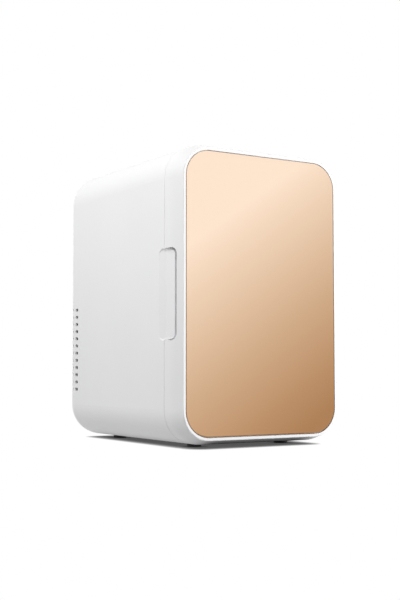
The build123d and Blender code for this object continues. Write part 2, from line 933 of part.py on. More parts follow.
def fins(count, pitch, fin_length, front, rear):
    """Row of upright fins centred on the cooling module."""
    for i in range(count):
        fin_x = (i - (count - 1) / 2) * pitch
        block(
            (fin_x - fin_thickness / 2, fin_x + fin_thickness / 2),
            (front, rear),
            (cooler_z - fin_length / 2, cooler_z + fin_length / 2),
        )


cold_fin_count = 2 * int(cold_sink_side / 2 / cold_fin_pitch)
hot_fin_count = 2 * int(hot_sink_width / 2 / hot_fin_pitch)

with BuildPart() as cold_sink:
    pad((0, cooler_z), (cold_sink_side, cold_sink_side), block_round, cold_base_front, cavity_back)
    fins(cold_fin_count, cold_fin_pitch, cold_sink_side, cold_fin_tip, cold_base_front)
    rods(clamp_points, clamp_radius + screw_fit, cold_base_front, cavity_back, mode=Mode.SUBTRACT)
    rods(
        square(cold_fan_holes),
        fan_screw_radius + screw_fit,
        cold_base_front,
        cavity_back,
        mode=Mode.SUBTRACT,
    )
cold_sink.part.label = "cold_sink"
export_step(cold_sink.part, "parts/cold_sink.step")

with BuildPart() as cold_block:
    pad((0, cooler_z), (block_side, block_side), block_round, cavity_back, foam_rear)
cold_block.part.label = "cold_block"
export_step(cold_block.part, "parts/cold_block.step")

ceramic = 0.8
pellet_margin = 1

with BuildPart() as peltier_module:
    pad((0, cooler_z), (block_side, block_side), thin_round, foam_rear, foam_rear + ceramic)
    pad((0, cooler_z), (block_side, block_side), thin_round, peltier_rear - ceramic, peltier_rear)
    pellet_side = block_side - 2 * pellet_margin
    pad((0, cooler_z), (pellet_side, pellet_side), thin_round, foam_rear + ceramic, peltier_rear - ceramic)
peltier_module.part.label = "peltier_module"
export_step(peltier_module.part, "parts/peltier_module.step")

with BuildPart() as peltier_seal:
    pad((0, cooler_z), (seal_side, seal_side), pad_round, foam_rear, peltier_rear)
    pad(
        (0, cooler_z),
        (block_side + 2 * fit, block_side + 2 * fit),
        block_round,
        foam_rear,
        peltier_rear,
        mode=Mode.SUBTRACT,
    )
    rods(clamp_points, clamp_radius + clamp_clearance, foam_rear, peltier_rear, mode=Mode.SUBTRACT)
peltier_seal.part.label = "peltier_seal"
export_step(peltier_seal.part, "parts/peltier_seal.step")

with BuildPart() as hot_heatsink:
    pad((0, cooler_z), (hot_sink_width, hot_sink_height), block_round, peltier_rear, hot_base_rear)
    fins(hot_fin_count, hot_fin_pitch, hot_sink_height, hot_base_rear, hot_fin_tip)
    rods(clamp_points, clamp_radius + clamp_clearance, peltier_rear, hot_base_rear, mode=Mode.SUBTRACT)
    rods(clamp_points, clamp_head_radius + clamp_head_room, hot_base_rear, hot_fin_tip, mode=Mode.SUBTRACT)
hot_heatsink.part.label = "hot_heatsink"
export_step(hot_heatsink.part, "parts/hot_heatsink.step")

with BuildPart() as clamp_screws:
    rods(clamp_points, clamp_radius, cold_base_front + fit, hot_base_rear)
    rods(clamp_points, clamp_head_radius, hot_base_rear, hot_base_rear + clamp_head_height)
clamp_screws.part.label = "clamp_screws"
export_step(clamp_screws.part, "parts/clamp_screws.step")

# Axial fans: a square frame with a round duct and a motor seat on four arms, and a bladed rotor on its shaft
duct_margin = 1.8
flange_share = 0.16
frame_round_share = 0.05
arm_angles = (45, 135)
shaft_radius = 1.5
shaft_end_share = 0.4
bearing_radius = 3.4
bearing_start_share = 0.35
cup_wall = 1.4
blade_reach_share = 0.93
blade_root_share = 1.05
blade_tip_share = 1.2
blade_root_thickness = 1.1
blade_tip_thickness = 0.85
blade_root_angle = 48
blade_tip_angle = 30


def fan_frame(side, thickness, holes, hub_radius, front):
    """Frame of an axial fan whose motor seat is on its rear face."""
    rear = front + thickness
    flange = thickness * flange_share
    duct = side / 2 - duct_margin
    seat = rear - flange
    with BuildPart() as frame:
        pad((0, cooler_z), (side, side), side * frame_round_share, front, front + flange)
        pad((0, cooler_z), (side, side), side * frame_round_share, rear - flange, rear)
        rods([(0, cooler_z)], side / 2, front, rear)
        rods([(0, cooler_z)], duct, front, rear, mode=Mode.SUBTRACT)
        rods([(0, cooler_z)], hub_radius, seat, rear)
        for angle in arm_angles:
            with BuildSketch(across(rear, cooler_z)) as arm:
                Rectangle(2 * duct + duct_margin, bearing_radius, rotation=angle)
            extrude(arm.sketch, amount=flange)
        rods([(0, cooler_z)], bearing_radius, front + thickness * bearing_start_share, seat)
        rods(
            [(0, cooler_z)],
            shaft_radius + running_fit,
            front,
            rear - flange / 2,
            mode=Mode.SUBTRACT,
        )
        rods(square(holes), fan_screw_radius + screw_fit, front, rear, mode=Mode.SUBTRACT)
    return frame.part


def fan_rotor(side, thickness, hub_radius, blades, front):
    """Rotor whose cup covers the motor, with blades that flatten towards the tip."""
    flange = thickness * flange_share
    cup_front = front + fan_gap
    cup_rear = front + thickness - flange - fan_gap
    tip = (side / 2 - duct_margin) * blade_reach_share
    cup_depth = cup_rear - cup_front
    middle = (cup_front + cup_rear) / 2
    with BuildPart() as blade:
        with BuildSketch(Plane((hub_radius - cup_wall / 2, 0, 0), x_dir=(0, 1, 0), z_dir=(1, 0, 0))):
            Rectangle(cup_depth * blade_root_share, blade_root_thickness, rotation=blade_root_angle)
        with BuildSketch(Plane((tip, 0, 0), x_dir=(0, 1, 0), z_dir=(1, 0, 0))):
            Rectangle(cup_depth * blade_tip_share, blade_tip_thickness, rotation=blade_tip_angle)
        loft(ruled=True)
    with BuildPart(Plane((0, middle, cooler_z), x_dir=(1, 0, 0), z_dir=(0, -1, 0))) as rotor:
        with PolarLocations(0, blades):
            add(blade.part)
        rods([(0, cooler_z)], hub_radius, cup_front, cup_rear)
        rods([(0, cooler_z)], hub_radius - cup_wall, cup_front + cup_wall, cup_rear, mode=Mode.SUBTRACT)
        rods([(0, cooler_z)], shaft_radius, cup_front, cup_rear + flange * shaft_end_share)
    return rotor.part


def fan_screws(holes, head_front, end):
    """Four long screws that hold a fan, with their heads at head_front."""
    step = 1 if end > head_front else -1
    with BuildPart() as screws:
        rods(square(holes), fan_screw_radius, *sorted((head_front, end)))
        head_end = head_front - step * fan_screw_head_height
        rods(square(holes), fan_screw_head, *sorted((head_front, head_end)))
    return screws.part


hot_fan_frame = fan_frame(hot_fan_side, hot_fan_depth, hot_fan_holes, hot_hub_radius, hot_fan_front)
hot_fan_frame.label = "hot_fan_frame"
export_step(hot_fan_frame, "parts/hot_fan_frame.step")

hot_fan_rotor = fan_rotor(hot_fan_side, hot_fan_depth, hot_hub_radius, hot_blades, hot_fan_front)
hot_fan_rotor.label = "hot_fan_rotor"
export_step(hot_fan_rotor, "parts/hot_fan_rotor.step")

hot_fan_screws = fan_screws(hot_fan_holes, hot_fan_front + hot_fan_depth, hot_fin_tip - hot_fin_height / 2)
hot_fan_screws.label = "hot_fan_screws"
export_step(hot_fan_screws, "parts/hot_fan_screws.step")

cold_fan_frame = fan_frame(cold_fan_side, cold_fan_depth, cold_fan_holes, cold_hub_radius, cold_fan_front)
cold_fan_frame.label = "cold_fan_frame"
export_step(cold_fan_frame, "parts/cold_fan_frame.step")

cold_fan_rotor = fan_rotor(cold_fan_side, cold_fan_depth, cold_hub_radius, cold_blades, cold_fan_front)
cold_fan_rotor.label = "cold_fan_rotor"
export_step(cold_fan_rotor, "parts/cold_fan_rotor.step")

cold_fan_screws = fan_screws(cold_fan_holes, cold_fan_front, cavity_back - fit)
cold_fan_screws.label = "cold_fan_screws"
export_step(cold_fan_screws, "parts/cold_fan_screws.step")

# Cover over the cold fan: an open-backed box with a slotted face and slotted sides
cover_boss_front = cold_cover_front + cold_cover_wall

with BuildPart() as cold_fan_cover:
    pad((0, cooler_z), (cold_cover_side, cold_cover_side), cold_cover_round, cold_cover_front, cavity_back)
    fillet(cold_fan_cover.edges().group_by(Axis.Y)[0], cold_cover_edge)
    inner_side = cold_cover_side - 2 * cold_cover_wall
    pad(
        (0, cooler_z),
        (inner_side, inner_side),
        cold_cover_round - cold_cover_wall,
        cover_boss_front,
        cavity_back,
        mode=Mode.SUBTRACT,
    )
    rods(cold_cover_screw_points, cold_cover_boss_radius, cover_boss_front, cavity_back)
    for i in range(cold_cover_slots):
        slot_z = cooler_z + (i - (cold_cover_slots - 1) / 2) * cold_cover_slot_pitch
        with BuildSketch(across(cover_boss_front)) as face_slot:
            with Locations((0, slot_z)):
                SlotOverall(cold_fan_side, cold_cover_slot)
        extrude(face_slot.sketch, amount=cold_cover_wall, mode=Mode.SUBTRACT)
        block(
            (-cold_cover_side, cold_cover_side),
            (cover_boss_front + side_slot_start, cavity_back - side_slot_end),
            (slot_z - cold_cover_slot / 2, slot_z + cold_cover_slot / 2),
            mode=Mode.SUBTRACT,
        )
    rods(
        cold_cover_screw_points,
        cold_cover_screw_radius + screw_fit,
        cold_cover_front,
        cavity_back,
        mode=Mode.SUBTRACT,
    )
cold_fan_cover.part.label = "cold_fan_cover"
export_step(cold_fan_cover.part, "parts/cold_fan_cover.step")

with BuildPart() as cold_fan_cover_screws:
    rods(cold_cover_screw_points, cold_cover_screw_radius, cold_cover_front, cover_screw_end)
    rods(
        cold_cover_screw_points,
        2 * cold_cover_screw_radius,
        cold_cover_front - cold_cover_screw_radius,
        cold_cover_front,
    )
cold_fan_cover_screws.part.label = "cold_fan_cover_screws"
export_step(cold_fan_cover_screws.part, "parts/cold_fan_cover_screws.step")

# Rear cover: a deep tray with large rounded edges, side vents, a fan opening and a recessed panel
inlet_points = {"ac": (inlet_x, panel_z), "dc": (0, panel_z)}
inlet_body = (21, 14)
inlet_flange = (26, 18)
inlet_flange_thickness = 1.5
inlet_flange_round = 3
switch_body = (13, 19.4)
switch_flange = (15.5, 22)
switch_point = (switch_x, panel_z)

with BuildPart() as rear_cover:
    slab(0, rear_seam, rear_y)
    fillet(rear_cover.edges().group_by(Axis.Y)[-1], rear_round)
    offset(amount=-cover_wall, openings=rear_cover.faces().sort_by(Axis.Y)[0])
    slab(0, rear_seam, rear_seam + collar_depth)
    slab(shell_wall + fit, rear_seam - tongue_depth, rear_seam)
    slab(
        shell_wall + fit + tongue,
        rear_seam - tongue_depth,
        rear_seam + collar_depth,
        mode=Mode.SUBTRACT,
    )
    pad(
        (0, panel_z),
        (panel_length + 2 * cover_wall, panel_height + 2 * cover_wall),
        panel_round + cover_wall,
        panel_floor - cover_wall,
        cover_inside,
    )
    pad((0, panel_z), (panel_length, panel_height), panel_round, panel_floor, rear_y, mode=Mode.SUBTRACT)
    for inlet_point in inlet_points.values():
        pad(
            inlet_point,
            [side + 2 * screw_fit for side in inlet_body],
            block_round,
            panel_floor - cover_wall,
            panel_floor,
            mode=Mode.SUBTRACT,
        )
    pad(
        switch_point,
        [side + 2 * screw_fit for side in switch_body],
        block_round,
        panel_floor - cover_wall,
        panel_floor,
        mode=Mode.SUBTRACT,
    )
    rods([(0, cooler_z)], grille_radius + screw_fit, rear_y - grille_step, rear_y, mode=Mode.SUBTRACT)
    rods(
        [(0, cooler_z)],
        grille_radius - grille_ledge + screw_fit,
        cover_inside,
        rear_y,
        mode=Mode.SUBTRACT,
    )
    short_y = rear_seam + vent_edge + vent_short / 2
    long_y = short_y + (vent_short + vent_long) / 2 + vent_column_gap
    with BuildSketch(Plane((-width, 0, 0), x_dir=(0, 1, 0), z_dir=(1, 0, 0))) as vents:
        for row in range(vent_rows):
            row_z = vent_bottom_z + row * vent_pitch
            with Locations((short_y, row_z)):
                SlotOverall(vent_short, vent_slot)
            with Locations((long_y, row_z)):
                SlotOverall(vent_long, vent_slot)
    extrude(vents.sketch, amount=width * 2, mode=Mode.SUBTRACT)
    rods(
        cover_screw_points,
        cover_screw_radius + screw_fit,
        cover_inside,
        rear_y,
        mode=Mode.SUBTRACT,
    )
    rods(
        cover_screw_points,
        cover_screw_head + fit,
        rear_y - cover_screw_recess,
        rear_y,
        mode=Mode.SUBTRACT,
    )
rear_cover.part.label = "rear_cover"
export_step(rear_cover.part, "parts/rear_cover.step")

with BuildPart() as rear_cover_screws:
    cover_screw_tip = cover_inside - cover_screw_grip + fit
    cover_screw_seat = rear_y - cover_screw_recess
    rods(cover_screw_points, cover_screw_radius, cover_screw_tip, cover_screw_seat)
    rods(cover_screw_points, cover_screw_head, cover_screw_seat, rear_y - fit)
rear_cover_screws.part.label = "rear_cover_screws"
export_step(rear_cover_screws.part, "parts/rear_cover_screws.step")

# Round grille: rings joined by four spokes round a hub, snapped into the rear cover
with BuildPart() as fan_grille:
    rods([(0, cooler_z)], grille_radius, rear_y - grille_step, rear_y)
    rods([(0, cooler_z)], grille_radius - grille_ledge, cover_inside, rear_y - grille_step)
    with BuildSketch(across(rear_y, cooler_z)) as openings:
        for ring in reversed(range(grille_rings)):
            inner = grille_hub_radius + ring * grille_ring_pitch
            Circle(inner + grille_slot)
            Circle(inner, mode=Mode.SUBTRACT)
        for angle in grille_spoke_angles:
            Rectangle(2 * grille_radius, grille_spoke, rotation=angle, mode=Mode.SUBTRACT)
    extrude(openings.sketch, amount=cover_wall, mode=Mode.SUBTRACT)
fan_grille.part.label = "fan_grille"
export_step(fan_grille.part, "parts/fan_grille.step")

# Inlets: flanged housings with an open mouth and two pins each
inlet_reach = 18
inlet_mouth_depth = 13
inlet_mouths = {"ac": (17, 8, 3.9), "dc": (16, 9.6, 1.6)}
pin_pitches = {"ac": 8.6, "dc": 9}
inlet_pin_radius = 1.2
pin_stand = 3

for supply, inlet_point in inlet_points.items():
    flange_rear = panel_floor + inlet_flange_thickness
    inlet_front = panel_floor - inlet_reach
    mouth_floor = flange_rear - inlet_mouth_depth
    mouth_width, mouth_height, mouth_corner = inlet_mouths[supply]
    pins = [(inlet_point[0] + i * pin_pitches[supply] / 2, inlet_point[1]) for i in (-1, 1)]
    with BuildPart() as inlet:
        pad(inlet_point, inlet_body, block_round, inlet_front, panel_floor)
        pad(inlet_point, inlet_flange, inlet_flange_round, panel_floor, flange_rear)
        pad(
            inlet_point,
            (mouth_width, mouth_height),
            mouth_corner,
            mouth_floor,
            flange_rear,
            mode=Mode.SUBTRACT,
        )
        rods(pins, inlet_pin_radius + screw_fit, inlet_front, mouth_floor, mode=Mode.SUBTRACT)
    inlet.part.label = f"{supply}_inlet"
    export_step(inlet.part, f"parts/{supply}_inlet.step")

    with BuildPart() as inlet_pins:
        rods(pins, inlet_pin_radius, inlet_front - pin_stand, flange_rear - pin_stand)
    inlet_pins.part.label = f"{supply}_inlet_pins"
    export_step(inlet_pins.part, f"parts/{supply}_inlet_pins.step")

# Three-position rocker switch
switch_reach = 15
switch_wall = 1.1
rocker_room = 9
rocker_gap = 0.3
rocker_end_gap = 0.7
rocker_sink = 1.4
rocker_pivot_y = panel_floor - rocker_sink
rocker_pivot_radius = 1.2
rocker_half = switch_body[1] / 2 - switch_wall - rocker_end_gap
rocker_end_rise = 3.4
rocker_middle_rise = 2.3
rocker_bottom = 5

with BuildPart() as mode_switch_housing:
    pad(switch_point, switch_body, block_round, panel_floor - switch_reach, panel_floor)
    pad(switch_point, switch_flange, pad_round, panel_floor, panel_floor + inlet_flange_thickness)
    pad(
        switch_point,
        [side - 2 * switch_wall for side in switch_body],
        thin_round,
        panel_floor - rocker_room,
        panel_floor + inlet_flange_thickness,
        mode=Mode.SUBTRACT,
    )
    with Locations(Location((switch_x, rocker_pivot_y, panel_z), (0, 90, 0))):
        Cylinder(rocker_pivot_radius + running_fit, switch_body[0], mode=Mode.SUBTRACT)
mode_switch_housing.part.label = "mode_switch_housing"
export_step(mode_switch_housing.part, "parts/mode_switch_housing.step")

with BuildPart() as mode_switch_rocker:
    rocker_width = switch_body[0] - 2 * switch_wall - 2 * rocker_gap
    with BuildSketch(Plane((switch_x, rocker_pivot_y, panel_z), x_dir=(0, 1, 0), z_dir=(1, 0, 0))):
        with BuildLine():
            rocker_top = Polyline(
                (0, rocker_half),
                (rocker_end_rise, rocker_half),
                (rocker_middle_rise, 0),
                (rocker_end_rise, -rocker_half),
                (0, -rocker_half),
            )
            ThreePointArc(rocker_top @ 1, (-rocker_bottom, 0), rocker_top @ 0)
        make_face()
    extrude(amount=rocker_width / 2, both=True)
    with Locations(Location((switch_x, rocker_pivot_y, panel_z), (0, 90, 0))):
        Cylinder(rocker_pivot_radius, switch_body[0] - rocker_gap)
mode_switch_rocker.part.label = "mode_switch_rocker"
export_step(mode_switch_rocker.part, "parts/mode_switch_rocker.step")

# Power board with its larger parts, on the standoffs of the bulkhead
with BuildPart() as power_board:
    pad((0, panel_z), (board_length, board_height), pad_round, board_front, board_rear)
    rods(board_screw_points, board_screw_radius + screw_fit, board_front, board_rear, mode=Mode.SUBTRACT)
power_board.part.label = "power_board"
export_step(power_board.part, "parts/power_board.step")

transformer = (26, 22, 20)
transformer_place = (24, panel_z - 8)
capacitor_radius = 6
capacitor_height = 18
capacitor_places = [(-2, panel_z + 14), (-18, panel_z + 14)]
regulator_fin = (24, 3, 16)
regulator_place = (-28, panel_z - 12)
plug_socket = (16, 7, 8)
plug_socket_place = (2, panel_z - 20)

with BuildPart() as board_parts:
    pad(transformer_place, transformer[:2], pad_round, board_rear, board_rear + transformer[2])
    rods(capacitor_places, capacitor_radius, board_rear, board_rear + capacitor_height)
    pad(regulator_place, regulator_fin[:2], thin_round, board_rear, board_rear + regulator_fin[2])
    pad(plug_socket_place, plug_socket[:2], thin_round, board_rear, board_rear + plug_socket[2])
board_parts.part.label = "board_parts"
export_step(board_parts.part, "parts/board_parts.step")

with BuildPart() as board_screws:
    rods(board_screw_points, board_screw_radius, bulkhead_rear + fit, board_rear)
    rods(board_screw_points, board_screw_head, board_rear, board_rear + board_screw_head_height)
board_screws.part.label = "board_screws"
export_step(board_screws.part, "parts/board_screws.step")

# Slotted shelf that rests on the lower pair of rails
with BuildPart() as shelf:
    shelf_width = 2 * (cavity_half_width - shelf_side_gap)
    with BuildSketch(Plane.XY.offset(shelf_z)):
        with Locations((0, rail_rear - shelf_depth / 2)):
            RectangleRounded(shelf_width, shelf_depth, rack_round)
            with GridLocations(shelf_width / (shelf_slots + 1), 1, shelf_slots, 1):
                SlotOverall(shelf_slot_length, shelf_slot_width, rotation=90, mode=Mode.SUBTRACT)
    extrude(amount=shelf_thickness)
    fillet(shelf.edges().group_by(Axis.Z)[-1], shelf_edge_round)
shelf.part.label = "shelf"
export_step(shelf.part, "parts/shelf.step")
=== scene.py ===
from math import cos, pi, radians, sin

import bmesh
import bpy
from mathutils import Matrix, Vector
from mathutils.geometry import tessellate_polygon


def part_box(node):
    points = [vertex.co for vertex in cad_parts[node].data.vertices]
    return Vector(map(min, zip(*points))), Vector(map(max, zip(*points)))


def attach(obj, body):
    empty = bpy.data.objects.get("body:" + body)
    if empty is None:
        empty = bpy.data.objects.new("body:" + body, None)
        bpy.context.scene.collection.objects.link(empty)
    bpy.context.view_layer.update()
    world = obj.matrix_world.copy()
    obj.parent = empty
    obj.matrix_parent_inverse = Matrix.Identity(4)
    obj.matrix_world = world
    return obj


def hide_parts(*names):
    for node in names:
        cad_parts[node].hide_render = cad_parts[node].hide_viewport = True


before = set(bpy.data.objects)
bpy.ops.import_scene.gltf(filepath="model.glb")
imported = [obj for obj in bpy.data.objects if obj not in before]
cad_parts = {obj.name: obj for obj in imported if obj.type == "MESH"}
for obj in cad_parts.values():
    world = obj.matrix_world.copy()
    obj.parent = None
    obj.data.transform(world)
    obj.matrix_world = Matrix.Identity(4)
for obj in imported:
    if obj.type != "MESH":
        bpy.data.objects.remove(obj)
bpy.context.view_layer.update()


# White mouldings: the cabinet's sleeve, the rear cover with its grille, and the door's frame.
# They are injection moulded in glossy ABS, with the faint ripple of a polished tool and a slow drift of tone.
class Flow:
    """A value in a finish's node tree; arithmetic on it adds Math nodes."""

    def __init__(self, tree, socket=None):
        self.tree = tree
        self.socket = socket

    def add(self, kind, settings, sockets, out=0):
        """One more node: its type, then its settings, then the values or links of its sockets."""
        node = self.tree.nodes.new("ShaderNode" + kind)
        for name, value in settings.items():
            setattr(node, name, value)
        for name, value in sockets.items():
            if isinstance(value, Flow):
                self.tree.links.new(value.socket, node.inputs[name])
            else:
                node.inputs[name].default_value = value
        return Flow(self.tree, node.outputs[out])

    def other(self, out):
        """Another output of the node that gave this value."""
        return Flow(self.tree, self.socket.node.outputs[out])

    def to(self, socket):
        self.tree.links.new(self.socket, socket)

    def math(self, operation, *values):
        return self.add("Math", {"operation": operation}, dict(enumerate(values)))

    def __add__(self, other):
        return self.math("ADD", self, other)

    def __sub__(self, other):
        return self.math("SUBTRACT", self, other)

    def __rsub__(self, other):
        return self.math("SUBTRACT", other, self)

    def __mul__(self, other):
        return self.math("MULTIPLY", self, other)

    __radd__ = __add__
    __rmul__ = __mul__


def new_finish(name, constants):
    """An empty finish: its material, its principled shader with fixed values set, and its place in metres."""
    material = bpy.data.materials.new(name)
    material.use_nodes = True
    shader = material.node_tree.nodes["Principled BSDF"]
    for socket, value in constants.items():
        shader.inputs[socket].default_value = value
    place = Flow(material.node_tree).add("TexCoord", {}, {}, "Object")
    return material, shader, place


def mixed(factor, first, second):
    """Colour between first and second."""
    return factor.add("Mix", {"data_type": "RGBA"}, {0: factor, 6: (*first, 1), 7: (*second, 1)}, 2)


def dented(height, depth):
    """Normal of a surface whose fine relief is height times depth in metres."""
    return height.add("Bump", {}, {"Strength": 1.0, "Distance": depth, "Height": height})


def moulded(name, colour, shade, rough, peel, depth):
    """Moulded plastic: a fine skin of peel ripples per metre, with slow drifts of tone and gloss."""
    drift_rough = 0.05
    skin_rough = 0.04
    material, shader, place = new_finish(name, {})
    skin = place.add("TexNoise", {}, {"Vector": place, "Scale": peel, "Detail": 3.0, "Roughness": 0.55})
    drift = place.add("TexNoise", {}, {"Vector": place, "Scale": 11.0, "Detail": 2.0})
    mixed(drift, colour, shade).to(shader.inputs["Base Color"])
    (rough - skin_rough + drift * drift_rough + skin * skin_rough).to(shader.inputs["Roughness"])
    dented(skin, depth).to(shader.inputs["Normal"])
    return material


def dress(material, *names):
    """Gives CAD pieces a finish."""
    for name in names:
        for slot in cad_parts[name].material_slots:
            slot.material = material


shell_white = moulded(
    "shell_white", colour=(0.84, 0.84, 0.845), shade=(0.80, 0.80, 0.808), rough=0.33, peel=700, depth=0.00003
)
dress(shell_white, "outer_shell", "rear_cover", "fan_grille", "door_shell")


# Glass front: a pane of tempered glass with a metallic gold film behind it, from champagne to deep gold.
# The colour change is partly the film's tint and partly painted reflection: lighter at the upper left, darker
# at the lower right.
# This painted gradient runs evenly to the eye, so its colours are mixed as they are seen, and then made
# linear.
# The pale and deep colours are the film's tint with painted light and painted shade in them.
tint_and_painted_light_pale = (1.0, 0.893, 0.793)
tint_and_painted_shade_deep = (0.664, 0.466, 0.275)
film_rough = 0.22
haze_rough = 0.06
screen_gamma = 2.2
painted_fade_first = 0.036
painted_fade_left = -0.085
painted_fade_top = 0.209
painted_fade_across = 2.265
painted_fade_down = 3.325
gold_film_painted_reflection, shader, place = new_finish(
    "gold_film_painted_reflection", {"Metallic": 1.0, "Coat Weight": 1.0, "Coat Roughness": 0.03, "Coat IOR": 1.5}
)
along_x = place.add("SeparateXYZ", {}, {0: place}, "X")
along_z = along_x.other("Z")
# Painted reflection: the film's base colour is lightened towards the upper left and darkened towards the
# lower right.
painted_reflection_fade = painted_fade_first + (along_x - painted_fade_left) * painted_fade_across + (painted_fade_top - along_z) * painted_fade_down
as_seen = mixed(painted_reflection_fade, tint_and_painted_light_pale, tint_and_painted_shade_deep)
as_seen.add("Gamma", {}, {"Color": as_seen, "Gamma": screen_gamma}).to(shader.inputs["Base Color"])
haze = place.add("TexNoise", {}, {"Vector": place, "Scale": 60.0, "Detail": 4.0})
(film_rough + haze * haze_rough).to(shader.inputs["Roughness"])
dress(gold_film_painted_reflection, "glass_panel")


# Tape and magnets: a frame of black foam tape that carries the glass, and two dark ferrite blocks.
# Both are glued inside the door, where only their edges can ever be seen.
tape_foam = moulded(
    "tape_foam", colour=(0.02, 0.02, 0.021), shade=(0.035, 0.035, 0.036), rough=0.8, peel=2600, depth=0.0001
)
dress(tape_foam, "panel_tape")
magnet_ferrite = moulded(
    "magnet_ferrite", colour=(0.05, 0.05, 0.053), shade=(0.08, 0.08, 0.083), rough=0.55, peel=1600,
    depth=0.00006,
)
dress(magnet_ferrite, "door_magnets")


# Door seal: one ring of soft pale rubber, extruded with folded sides and welded at its corners.
# Its foot is pressed on the door liner's flange, and the two ridges of its lip meet the cabinet.
# Its section is drawn in shares of the seal's width and depth, one half first.
seal_width = 0.010
seal_corner = 0.023
seal_arc_steps = 18
seal_low, seal_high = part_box("door_gasket")
half_fold = [
    (0.03, 0.0), (0.0, 0.14), (0.03, 0.25), (0.19, 0.36), (0.06, 0.5), (0.0, 0.67), (0.02, 0.86),
    (0.09, 0.98), (0.2, 1.0), (0.34, 0.93), (0.5, 0.88),
]
fold = half_fold + [(1 - across, deep) for across, deep in reversed(half_fold[:-1])]


def mesh_piece(name, points, faces, material, body, replaced):
    """A new piece from its points and faces, which stands for a CAD piece and moves with its body."""
    mesh = bpy.data.meshes.new(name)
    mesh.from_pydata(points, [], faces)
    shape = bmesh.new()
    shape.from_mesh(mesh)
    bmesh.ops.recalc_face_normals(shape, faces=shape.faces)
    shape.to_mesh(mesh)
    shape.free()
    mesh.materials.append(material)
    piece = bpy.data.objects.new(name, mesh)
    bpy.context.scene.collection.objects.link(piece)
    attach(piece, body)
    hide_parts(replaced)
    return piece


def seal_stations():
    """Points on the seal's outer edge, each with its outward direction, once round the door."""
    middle = (seal_low + seal_high) / 2
    half = (seal_high - seal_low) / 2
    for corner in range(4):
        side_x = 1 if corner in (0, 3) else -1
        side_z = 1 if corner in (0, 1) else -1
        for step in range(seal_arc_steps + 1):
            angle = (corner + step / seal_arc_steps) * pi / 2
            outward = Vector((cos(angle), 0, sin(angle)))
            turn = Vector((side_x * (half.x - seal_corner), 0, side_z * (half.z - seal_corner)))
            yield Vector((middle.x, seal_low.y, middle.z)) + turn + outward * seal_corner, outward


seal_depth = seal_high.y - seal_low.y
seal_points = []
for edge, outward in seal_stations():
    for across, deep in fold:
        seal_points.append(edge - outward * across * seal_width + Vector((0, deep * seal_depth, 0)))
seal_faces = []
for first in range(0, len(seal_points), len(fold)):
    second = (first + len(fold)) % len(seal_points)
    for here in range(len(fold)):
        after = (here + 1) % len(fold)
        seal_faces.append((first + here, first + after, second + after, second + here))
seal_rubber = moulded(
    "seal_rubber", colour=(0.62, 0.63, 0.64), shade=(0.56, 0.57, 0.58), rough=0.6, peel=1200, depth=0.00004
)
seal = mesh_piece("folded_seal", seal_points, seal_faces, seal_rubber, "door", "door_gasket")
seal.modifiers.new("soft_folds", "SUBSURF").render_levels = 1
for face in seal.data.polygons:
    face.use_smooth = True


# Feet: four soft rubber pads with a stem that is pushed through the floor of the shell.
# They are dark, matt and slightly speckled, as cast rubber is.
foot_rubber = moulded(
    "foot_rubber", colour=(0.035, 0.035, 0.037), shade=(0.06, 0.06, 0.062), rough=0.72, peel=1800,
    depth=0.00008,
)
dress(foot_rubber, "foot_front_left", "foot_front_right", "foot_rear_left", "foot_rear_right")


# Liners, bulkhead, cover of the cold fan, shelf, rack and its rails: satin white polystyrene.
# Formed from sheet or moulded, they are duller than the outside and have a slight pebble.
liner_white = moulded(
    "liner_white", colour=(0.80, 0.81, 0.82), shade=(0.76, 0.77, 0.785), rough=0.45, peel=420, depth=0.00005
)
dress(
    liner_white, "inner_liner", "liner_back_panel", "door_liner", "rear_bulkhead", "cold_fan_cover", "shelf",
    "door_rack", "rack_rails",
)


# Insulation: white foam that fills the walls, with closed cells that show as a fine pitted skin.
# The thin collar round the cooling module is cut from the same sheet.
def foamed(name, colour, shade, cells, depth):
    """Foam with so many cells per metre, whose pits are duller and darker than its skin."""
    skin_rough = 0.8
    pit_rough = 0.15
    material, shader, place = new_finish(name, {})
    cell = place.add("TexVoronoi", {"feature": "F1"}, {"Vector": place, "Scale": cells})
    mixed(cell, colour, shade).to(shader.inputs["Base Color"])
    (skin_rough + cell * pit_rough).to(shader.inputs["Roughness"])
    dented(1 - cell, depth).to(shader.inputs["Normal"])
    return material


wall_foam = foamed("wall_foam", colour=(0.86, 0.85, 0.80), shade=(0.78, 0.77, 0.72), cells=380, depth=0.0003)
dress(wall_foam, "cabinet_insulation", "door_insulation", "peltier_seal")


# Heat sinks and cold block: extruded aluminium with fine lines along the extrusion.
# Four long screws clamp them on the thermoelectric module.
def drawn_metal(name, colour, shade, rough, lines, stretch):
    """Metal with so many drawn lines per metre; a small share in stretch makes them long that way."""
    line_rough = 0.16
    line_depth = 0.00002
    material, shader, place = new_finish(name, {"Metallic": 1.0})
    drawn = place.add("VectorMath", {"operation": "MULTIPLY"}, {0: place, 1: stretch})
    line = place.add("TexNoise", {}, {"Vector": drawn, "Scale": lines, "Detail": 4.0, "Roughness": 0.6})
    mixed(line, colour, shade).to(shader.inputs["Base Color"])
    (rough - line_rough / 2 + line * line_rough).to(shader.inputs["Roughness"])
    dented(line, line_depth).to(shader.inputs["Normal"])
    return material


sink_aluminium = drawn_metal(
    "sink_aluminium", colour=(0.80, 0.81, 0.82), shade=(0.66, 0.67, 0.69), rough=0.38, lines=900,
    stretch=(1, 1, 0.03),
)
dress(sink_aluminium, "cold_sink", "cold_block", "hot_heatsink")


